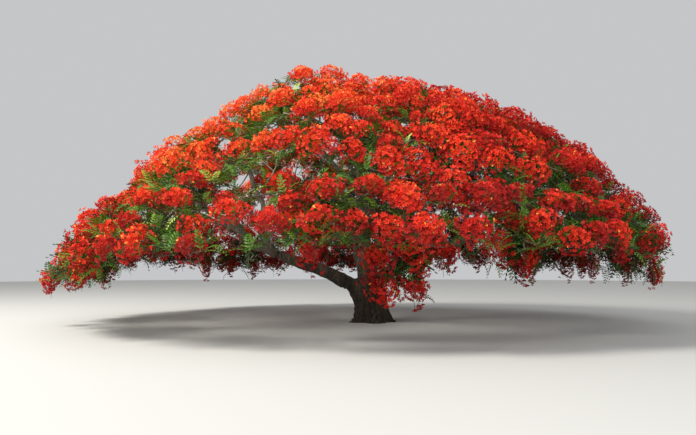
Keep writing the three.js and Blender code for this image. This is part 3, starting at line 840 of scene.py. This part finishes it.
def tubes(lines, radii, sides):
    """Vertices and polygons of closed tubes round lines (N, K, 3) with radii (N, K)."""
    tangents = unit(np.gradient(lines, axis=1))
    side = np.empty_like(lines)
    side[:, 0] = basis(tangents[:, 0])[0]
    for ring in range(1, radii.shape[1]):
        carried = side[:, ring - 1]
        along = (carried * tangents[:, ring]).sum(-1, keepdims=True)
        side[:, ring] = unit(carried - along * tangents[:, ring])
    other = np.cross(tangents, side)
    angles = turns(sides)
    wheel = np.cos(angles)[:, None] * side[:, :, None] + np.sin(angles)[:, None] * other[:, :, None]
    vertices = lines[:, :, None] + wheel * radii[:, :, None, None]
    return vertices.reshape(-1, 3), tube_faces(*radii.shape, sides)


def joined(parts):
    polygons, start = [], 0
    for vertices, groups in parts:
        polygons += [group + start for group in groups]
        start += len(vertices)
    return np.concatenate([vertices for vertices, _ in parts]), polygons


def add(piece, nodes):
    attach(piece, "root")
    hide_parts(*nodes)


# Materials


def linear(colour):
    """An sRGB colour of 0 to 255 as linear shares, opaque."""
    shares = [channel / 255 for channel in colour]
    return [*(s / 12.92 if s <= 0.04045 else ((s + 0.055) / 1.055) ** 2.4 for s in shares), 1]


def plain_material(name, colour, roughness):
    material = bpy.data.materials.new(name)
    material.use_nodes = True
    inputs = material.node_tree.nodes["Principled BSDF"].inputs
    inputs["Base Color"].default_value = linear(colour)
    inputs["Roughness"].default_value = roughness
    inputs["Specular IOR Level"].default_value = PLAIN_SHINE
    return material


class Nodes:
    """One material's nodes. Each call gives the new node's output."""

    def __init__(self, name):
        self.material = bpy.data.materials.new(name)
        self.material.use_nodes = True
        self.tree = self.material.node_tree
        self.place = self.node("TexCoord", "Object", {})

    def feed(self, node, inputs):
        for key, value in inputs.items():
            if isinstance(value, bpy.types.NodeSocket):
                self.tree.links.new(value, node.inputs[key])
            else:
                node.inputs[key].default_value = value

    def node(self, kind, output, inputs, **settings):
        made = self.tree.nodes.new(f"ShaderNode{kind}")
        for key, value in settings.items():
            setattr(made, key, value)
        self.feed(made, inputs)
        return made.outputs[output]

    def math(self, operation, *values):
        return self.node("Math", 0, dict(enumerate(values)), operation=operation)

    def rise(self, value, low, high):
        """From 0 where the value is low to 1 where it is high."""
        return self.node("MapRange", "Result", {"Value": value, "From Min": low, "From Max": high})

    def noise(self, scale, detail=4, stretch=(1, 1, 1)):
        mapped = self.node("Mapping", "Vector", {"Vector": self.place, "Scale": stretch})
        return self.node("TexNoise", "Fac", {"Vector": mapped, "Scale": scale, "Detail": detail})

    def ramp(self, value, *stops):
        made = self.node("ValToRGB", "Color", {"Fac": value})
        for element, (position, colour) in zip(made.node.color_ramp.elements, stops):
            element.position = position
            element.color = linear(colour)
        return made

    def mix(self, share, first, second, blend="MIX"):
        inputs = {"Factor": share, "A": first, "B": second}
        return self.node("Mix", "Result", inputs, data_type="RGBA", blend_type=blend)


def bark_material():
    """Grey-brown bark with long fissures, plates and lichen, paler towards the crown."""
    made = Nodes("bark")
    coarse, fine = made.noise(3.2, 6, BARK_STRETCH), made.noise(26, 8, BARK_STRETCH)
    risen = made.rise(made.node("SeparateXYZ", "Z", {"Vector": made.place}), *SHADE_RISE)
    from_middle = made.math("ABSOLUTE", made.math("SUBTRACT", made.noise(11, 4, FISSURES), 0.5))
    whole = made.rise(made.math("ADD", from_middle, made.math("MULTIPLY", risen, 0.035)), 0.0, 0.045)
    plates = made.ramp(fine, (0.3, DARK_BARK), (0.62, PALE_BARK))
    patches = made.ramp(coarse, (0.42, DARK_BARK), (0.6, PALE_BARK))
    lichen = made.ramp(fine, (0.3, LICHEN), (0.7, PALE_BARK))
    lichened = made.mix(made.rise(made.noise(7, 5), 0.58, 0.68), made.mix(coarse, plates, patches), lichen)
    cracks = made.ramp(whole, (0.0, [channel * CRACK_SHADE for channel in DARK_BARK]), (1.0, PALE_BARK))
    shade = made.ramp(risen, (0.0, LOW_SHADE), (1.0, (255, 255, 255)))
    bump = {"Height": made.math("ADD", fine, whole), "Strength": 0.55, "Distance": 0.02}
    looks = {"Base Color": made.mix(1.0, made.mix(whole, cracks, lichened), shade, "MULTIPLY")}
    looks |= {"Roughness": 0.9, "Specular IOR Level": 0.25, "Normal": made.node("Bump", "Normal", bump)}
    made.feed(made.tree.nodes["Principled BSDF"], looks)
    return made.material


# Wood


def limb_radii(limb, shares, swell, closing):
    """A limb's radii: it tapers, swells where it leaves its parent and has slight knuckles."""
    taper = limb.thick + (limb.thin - limb.thick) * shares
    taper *= np.clip((1 - shares) / max(closing, 1e-6), CLOSED_TO, 1)
    collar = 1 + swell * np.exp(-shares / COLLAR_LENGTH)
    x, y, _ = limb.handles[1]
    waves = np.sin(shares * KNUCKLES.waves[0] + x * KNUCKLES.shift) * np.sin(shares * KNUCKLES.waves[1] + y)
    return taper * collar * (1 + KNUCKLES.deep * waves)


def wandering(limb, shares, amount):
    """A limb's line with a slight wander."""
    held = np.sin(shares * pi) ** 0.8
    phase = limb.tip.sum() * 7
    sway = [size * np.sin(shares * waves + phase * shift) for waves, shift, size in SWAYS]
    return limb.at(shares) + amount * held[:, None] * np.stack(sway, axis=1)


def trunk_tube():
    """Rings up the trunk, lobed where the roots flare and fluted above them."""
    heights = np.append(-TRUNK.under, np.linspace(0, TRUNK.heights[-1], TRUNK.rings))
    radii = np.interp(heights, TRUNK.heights, TRUNK.radii)
    leans = np.interp(heights, TRUNK.heights, TRUNK.leans)
    angles = turns(TRUNK.sides)
    flare = ROOTS.deep * np.maximum(0, 1 - heights / ROOTS.top).clip(0, 1)
    lobes = 1 + flare[:, None] * np.cos(ROOTS.lobes * angles + ROOTS.turn)
    flutes = np.cos(FLUTES.count * angles + FLUTES.twist * heights[:, None])
    flutes = 1 + FLUTES.deep * flutes * np.clip(heights / ROOTS.top, 0, 1)[:, None]
    across = radii[:, None] * lobes * flutes
    z = np.repeat(heights[:, None], TRUNK.sides, axis=1)
    vertices = np.stack([leans[:, None] + across * np.cos(angles), across * np.sin(angles), z], axis=-1)
    return vertices.reshape(-1, 3), tube_faces(1, *z.shape)


def fused(piece):
    """Grows the piece's overlapping tubes into one skin."""
    remesh = piece.modifiers.new("Fuse", "REMESH")
    remesh.mode, remesh.voxel_size, remesh.use_smooth_shade = "VOXEL", VOXEL, True
    smooth = piece.modifiers.new("Soften", "SMOOTH")
    smooth.factor, smooth.iterations = SOFTENED.factor, SOFTENED.times
    graph = bpy.context.evaluated_depsgraph_get()
    mesh = bpy.data.meshes.new_from_object(piece.evaluated_get(graph))
    piece.modifiers.clear()
    piece.data = mesh


def cut_at_ground(piece):
    made = bmesh.new()
    made.from_mesh(piece.data)
    geometry = made.verts[:] + made.edges[:] + made.faces[:]
    plane = {"plane_co": (0, 0, 0), "plane_no": (0, 0, 1)}
    cut = bmesh.ops.bisect_plane(made, geom=geometry, **plane, clear_inner=True)
    bmesh.ops.holes_fill(made, edges=[one for one in cut["geom_cut"] if isinstance(one, bmesh.types.BMEdge)])
    bmesh.ops.triangulate(made, faces=[face for face in made.faces if len(face.verts) > 4])
    made.to_mesh(piece.data)
    made.free()


def roughen(piece, relief):
    """Moves vertices along their normals by relief(place). The cut at the ground stays flat."""
    vertices = piece.data.vertices
    places, normals = np.empty((2, len(vertices), 3), np.float32)
    vertices.foreach_get("co", places.ravel())
    vertices.foreach_get("normal", normals.ravel())
    heights = np.array([relief(Vector(place)) for place in places])
    ground = places[:, 2] < 1e-4
    normals[ground] = unit(normals[ground] * (1, 1, 0))
    moved = places + normals * heights[:, None]
    moved[:, 2] = np.where(ground, 0, np.maximum(moved[:, 2], 0))
    vertices.foreach_set("co", moved.astype(np.float32).ravel())
    piece.data.update()


def trunk_relief(place):
    """Ridges, furrows and lumps on the trunk, fading to finer ones on the limbs."""
    low = max(0.0, min(1.0, RELIEF_TOP - place.z))
    ridges = noise.fractal(Vector((place.x * 7, place.y * 7, place.z * 1.4)), 0.9, 2.1, 4)
    furrows = -abs(noise.noise(Vector((place.x * 9, place.y * 9, place.z * 1.1 + 4))))
    lumps = noise.fractal(place * 3.1, 1.0, 2.0, 3)
    fine = noise.fractal(place * 17, 0.8, 2.2, 3)
    on_trunk = 0.04 * ridges + 0.03 * lumps + 0.07 * furrows
    return low * on_trunk + 0.01 * lumps + 0.005 * fine + 0.008 * ridges


def bough_relief(place):
    return 0.006 * noise.fractal(place * 5, 1.0, 2.0, 3) + 0.003 * noise.fractal(place * 24, 0.8, 2.2, 3)


def limb_tubes(limbs, look):
    """Tubes round limbs. A bough's root swells to nearly what its limb's tip measures."""
    shares = np.linspace(0, 1, look.rings)
    lines, radii = [], []
    for limb in limbs:
        lines.append(wandering(limb, shares * limb.end, look.wander))
        swell = look.swell or BOUGH_ROOT * limb.parent.thin / limb.thick - 1
        radii.append(limb_radii(limb, shares, swell, look.closing))
    return tubes(np.array(lines), np.array(radii), look.sides)


def make_wood(limbs, boughs, stems, foliage):
    bark = bark_material()
    tree = joined([trunk_tube(), limb_tubes(limbs, TUBES["limbs"])])
    trunk = mesh_piece("trunk_and_limbs", *tree, bark, True)
    fused(trunk)
    cut_at_ground(trunk)
    roughen(trunk, trunk_relief)
    add(trunk, ["trunk"] + [limb.name for limb in limbs])
    piece = mesh_piece("boughs", *limb_tubes(boughs, TUBES["boughs"]), bark, True)
    roughen(piece, bough_relief)
    add(piece, [one.name for one in boughs])
    add(mesh_piece("stems", *limb_tubes(stems, TUBES["stems"]), bark, True), foliage)


def make_twigs(crown, nodes):
    parts = {name: [] for name in TWIG_BARK}
    for kind, (sides, cuts) in TWIG_SIDES.items():
        start, middle, end, thick, thin = (np.array(column)[:, None] for column in zip(*crown.lines[kind]))
        t = np.linspace(0, 1, cuts)[:, None]
        handle = 2 * middle - (start + end) / 2
        curve = start * (1 - t) ** 2 + 2 * handle * t * (1 - t) + end * t**2
        radii = thick + (thin - thick) * t[:, 0]
        high = end[:, 0, 2] > SUNLIT_OVER
        for name, chosen in zip(TWIG_BARK, (~high, high)):
            parts[name].append(tubes(curve[chosen], radii[chosen], sides))
    for name, colour in TWIG_BARK.items():
        material = plain_material(f"twig_bark_{name}", colour, TWIG_ROUGH)
        add(mesh_piece(f"twigs_{name}", *joined(parts[name]), material, smooth=True), nodes)


# Blossom and leaves


def dealt(values, tints):
    """The number of each value's tint, by the tints' shares."""
    return np.searchsorted(np.quantile(values, [share for _, share in tints.values()][:-1]), values)


def inside_box(vertices):
    """True for each shape, of (N, T, 3), that keeps to the solids' box and its allowance."""
    low, high = (np.array(corner) for corner in cad_box)
    allowed = (vertices > low - BOX_ALLOWANCE) & (vertices < high + BOX_ALLOWANCE)
    return allowed.all(axis=(1, 2)) & (vertices[..., 2] > OVER_GROUND).all(axis=1)


def make_tinted(look, tints, dealt_to, shapes, faces, nodes):
    """One joined piece for each tint, of the shapes (N, T, 3) that were dealt to it."""
    for number, (tint, (colour, _)) in enumerate(tints.items()):
        chosen = shapes[dealt_to == number]
        corners = (np.arange(len(chosen))[:, None, None] * shapes.shape[1] + faces).reshape(-1, 3)
        material = plain_material(f"{look.one}_{tint}", colour, look.rough)
        add(mesh_piece(f"{look.many}_{tint}", chosen.reshape(-1, 3), [corners], material), nodes)


def flower_template():
    """Five petals in a funnel, each a folded kite, in flower radii."""
    points = []
    for angle in turns(PETALS):
        outward = np.array([cos(angle), sin(angle), 0])
        aside = np.cross(UP, outward)
        points += [outward * out + aside * side + UP * up for out, side, up in PETAL]
    return np.array(points)


def flower_light_and_tone(clump, up, rng):
    """Painted light and random tone of a clump's flowers: brighter high up, to the left and on top of the
    clump.
    """
    height = clump.centre[2] / CROWN_TOP
    light_and_tone = FLOWER_LIGHT_AND_TONE.height * height - FLOWER_LIGHT_AND_TONE.left * height**2 * clump.centre[0]
    light_and_tone += rng.normal(0, FLOWER_LIGHT_AND_TONE.clump)
    return light_and_tone + FLOWER_LIGHT_AND_TONE.up * up + rng.normal(0, FLOWER_LIGHT_AND_TONE.flower, len(up))


def clump_flowers(clump, rng):
    """Places, axes and painted light and tone of the flowers over one clump."""
    hang = float(hanging(clump.centre)[0])
    crowded = 1 + HANG.crowded * hang + (BACK.fuller if clump.centre[1] > BACK.behind else 0)
    count = max(FLOWERS.least, round(FLOWERS.in_clump * crowded * clump.radius**2))
    out_a, out_b, up = cap(count, cos(CLUMPS.round + hang * HANG.round), rng.uniform(0, 6))
    stretch = rng.uniform(*CLUMPS.stretch)
    around = np.arctan2(out_b, out_a)
    lobes = 1
    for (number, deep), phase in zip(LOBES, rng.uniform(0, FULL_TURN, len(LOBES))):
        lobes = lobes + deep * np.sin(number * around + phase)
    outward = sideways(clump.axis, out_a * stretch, out_b / stretch)
    nearest, furthest = FLOWERS.reach
    reach = clump.radius * rng.uniform(nearest - HANG.deeper * hang, furthest, count)[:, None]
    offset = outward * reach * lobes[:, None] + up[:, None] * CLUMPS.rise * reach * clump.axis
    below = np.minimum(offset[:, 2:], 0) / clump.radius
    offset *= 1 + hang * (HANG.narrower * below * (1 - UP) + HANG.longer * (below < 0) * UP)
    loose = rng.normal(0, FLOWERS.loose, (count, 3))
    axes = unit(outward + up[:, None] * clump.axis + loose - HANG.nodding * hang * UP)
    return clump.centre + offset, axes, flower_light_and_tone(clump, up, rng)


def make_blossom(crown, nodes):
    rng = np.random.default_rng(FIRST_SEED)
    flowering = [clump for clump in crown.clumps if clump.kind in ("blossom", "sprig")]
    places, axes, light_and_tone = gathered([clump_flowers(clump, rng) for clump in flowering])
    count = len(places)
    sizes = FLOWER_RADIUS * rng.uniform(*FLOWER_SIZES, count)
    spins = rng.uniform(0, 6.28, count)
    cosine, sine = np.cos(spins), np.sin(spins)
    turned = [sideways(axes, cosine, sine), sideways(axes, -sine, cosine), axes]
    vertices = copies(flower_template(), places, turned, sizes)
    vertices += rng.normal(0, PETAL_LOOSE, vertices.shape)
    rank = dealt(light_and_tone, PETAL_TINTS)
    pale = rng.uniform(size=count) < PALE[0] + PALE[1] * rank
    tints = np.repeat(rank[:, None], PETALS, axis=1)
    tints[pale, 0] = len(PETAL_TINTS) - 1
    fits = inside_box(vertices) & (places[:, 2] < dome_over(places / EDGE_WIDER, FLOWERS_OVER)[0])
    petals = vertices[fits].reshape(-1, len(PETAL), 3)
    make_tinted(PETAL_LOOK, PETAL_TINTS, tints[fits].ravel(), petals, KITE["under"], nodes)


def frond_template():
    """A drooping, feathery leaf one unit long. X runs along it and Z up."""

    def rib(t):
        return np.array([t, 0, 0.16 * sin(t * 2.2) - 0.34 * t * t])

    kites, faces = [], []
    wide = np.array([0.066, 0, 0.0])
    for t in LEAFLETS_FROM + (1 - LEAFLETS_FROM) * np.arange(LEAFLET_PAIRS) / (LEAFLET_PAIRS - 1):
        length = 0.25 * sin(pi * (0.2 + 0.72 * t)) ** 0.8 + 0.03
        for side, facing in ((-1, "under"), (1, "over")):
            along = unit((0.75, side, -0.22 - 0.1 * t)) * length
            front, behind = along * 0.55 + wide, along * 0.5 - wide * 0.8
            kites.append([rib(t), rib(t) + front, rib(t) + along, rib(t) + behind])
            faces.append(KITE[facing])
    width = np.array([0, 0.012, 0])
    for a, b in ((0.0, 0.5), (0.5, 1.0)):
        kites.append([rib(a) - width, rib(b) - width, rib(b) + width, rib(a) + width])
        faces.append(KITE["over"])
    faces = np.array(faces) + 4 * np.arange(len(kites))[:, None, None]
    return np.array(kites).reshape(-1, 3), faces.reshape(-1, 3)


def leaf_light_and_tone(clump, count, rng):
    # Painted light: brighter high up and to the left, with random tone; inner tufts start dark as painted
    # shade
    bright = FRONDS[clump.kind].bright + LEAF_LIGHT_AND_TONE.height * clump.centre[2] / CROWN_TOP
    bright = bright - LEAF_LIGHT_AND_TONE.left * clump.centre[0] + rng.normal(0, LEAF_LIGHT_AND_TONE.clump)
    return bright + rng.normal(0, LEAF_LIGHT_AND_TONE.leaf, count)


def clump_fronds(clump, rng):
    """Roots, headings, lengths and painted light and tone of one clump's leaves, and the lower edge that they
    keep to.
    """
    kind = FRONDS[clump.kind]
    count = kind.count
    spin = np.arange(count) * GOLDEN_ANGLE + rng.uniform(0, 6.28) + rng.normal(0, FROND_LOOSE, count)
    outward = sideways(clump.axis, np.cos(spin), np.sin(spin))
    lift = rng.uniform(*kind.lift, count)
    lengths = kind.length * rng.uniform(*FROND_SIZES, count)
    starts = np.full(count, FROND_ROOTS.middle * clump.radius)
    sunk = FROND_ROOTS.sunk
    if clump.kind == "blossom":
        core = CORES["hanging" if hanging(clump.centre)[0] > 0.5 else "standing"]
        lift[RIM_FRONDS:] = rng.uniform(*core.lift, count - RIM_FRONDS)
        lengths[RIM_FRONDS:] = clump.radius * core.length
        starts[:RIM_FRONDS] = FROND_ROOTS.rim * clump.radius
        sunk = FROND_ROOTS.sunk_in_blossom
    headings = unit(outward + lift[:, None] * clump.axis)
    places = clump.centre - clump.axis * sunk + headings * starts[:, None]
    return places, headings, lengths, leaf_light_and_tone(clump, count, rng), np.full(count, clump.floor)


def make_leaves(crown, nodes):
    rng = np.random.default_rng(SEED_STEP)
    places, headings, lengths, bright, floors = gathered([clump_fronds(clump, rng) for clump in crown.clumps])
    aside = unit(np.cross(UP, headings) + rng.normal(0, FROND_LOOSE, headings.shape))
    above = unit(np.cross(headings, aside))
    template, faces = frond_template()
    vertices = copies(template, places, [headings, np.cross(above, headings), above], lengths)
    along = headings * lengths[:, None]
    height, share = dome_over(places + along)
    shown = inside_box(vertices) & ~in_opening(places + along * 0.5, LEAVES.clear)
    shown &= ((places + along)[:, 2] < height + LEAVES.over) & (share < LEAVES.edge)
    shown &= (vertices[..., 2].min(axis=1) > floors) | (rng.uniform(size=len(vertices)) < LEAVES.hanging)
    make_tinted(LEAF_LOOK, LEAF_TINTS, dealt(bright[shown], LEAF_TINTS), vertices[shown], faces, nodes)


# Stage


def make_floor():
    angles = turns(FLOOR.sides)
    x, y = np.cos(angles) * FLOOR.radius, np.sin(angles) * FLOOR.radius
    rim = np.stack([x, y, np.full(FLOOR.sides, -FLOOR.drop)], axis=1)
    material = plain_material("floor", FLOOR.colour, FLOOR.rough)
    floor = mesh_piece("floor", rim, [np.arange(FLOOR.sides)[None]], material)


def make_lights():
    world = bpy.data.worlds.new("studio")
    world.use_nodes = True
    background = world.node_tree.nodes["Background"]
    background.inputs["Color"].default_value = SKY.colour
    background.inputs["Strength"].default_value = SKY.strength
    bpy.context.scene.world = world
    for name, lamp in LAMPS.items():
        data = bpy.data.lights.new(name, "AREA")
        data.shape = "DISK"
        data.size, data.energy, data.color = lamp.size, lamp.power, lamp.colour
        made = in_scene(name, data)
        made.location = lamp.place
        sight = Vector((0, 0, lamp.aim)) - Vector(lamp.place)
        made.rotation_euler = sight.to_track_quat("-Z", "Y").to_euler()


def make_camera():
    data = bpy.data.cameras.new("camera")
    data.lens, data.sensor_width, data.clip_end = CAMERA.lens, CAMERA.film, CAMERA.sees
    camera = in_scene("camera", data)
    camera.location = CAMERA.place
    camera.rotation_euler = (pi / 2 + CAMERA.pitch, 0, 0)
    bpy.context.scene.camera = camera
    bpy.context.scene.view_settings.view_transform = "Standard"


def main():
    limbs = trunk_limbs()
    boughs = all_boughs(limbs)
    masses = all_masses()
    stems = [stem_of(mass, carrier_of(mass, limbs, boughs)) for mass in masses]
    trunk = Limb("trunk", np.zeros(3), FORK, FORK, FORK, TRUNK)
    crown = Crown(masses, [trunk, *limbs, *boughs, *stems])
    for mass, stem in zip(masses, stems):
        grow_mass(mass, stem, crown)
    foliage = [f"foliage_{mass.name}" for mass in masses]
    make_wood(limbs, boughs, stems, foliage)
    make_twigs(crown, foliage)
    make_blossom(crown, foliage)
    make_leaves(crown, foliage)
    make_floor()
    make_lights()
    make_camera()


main()
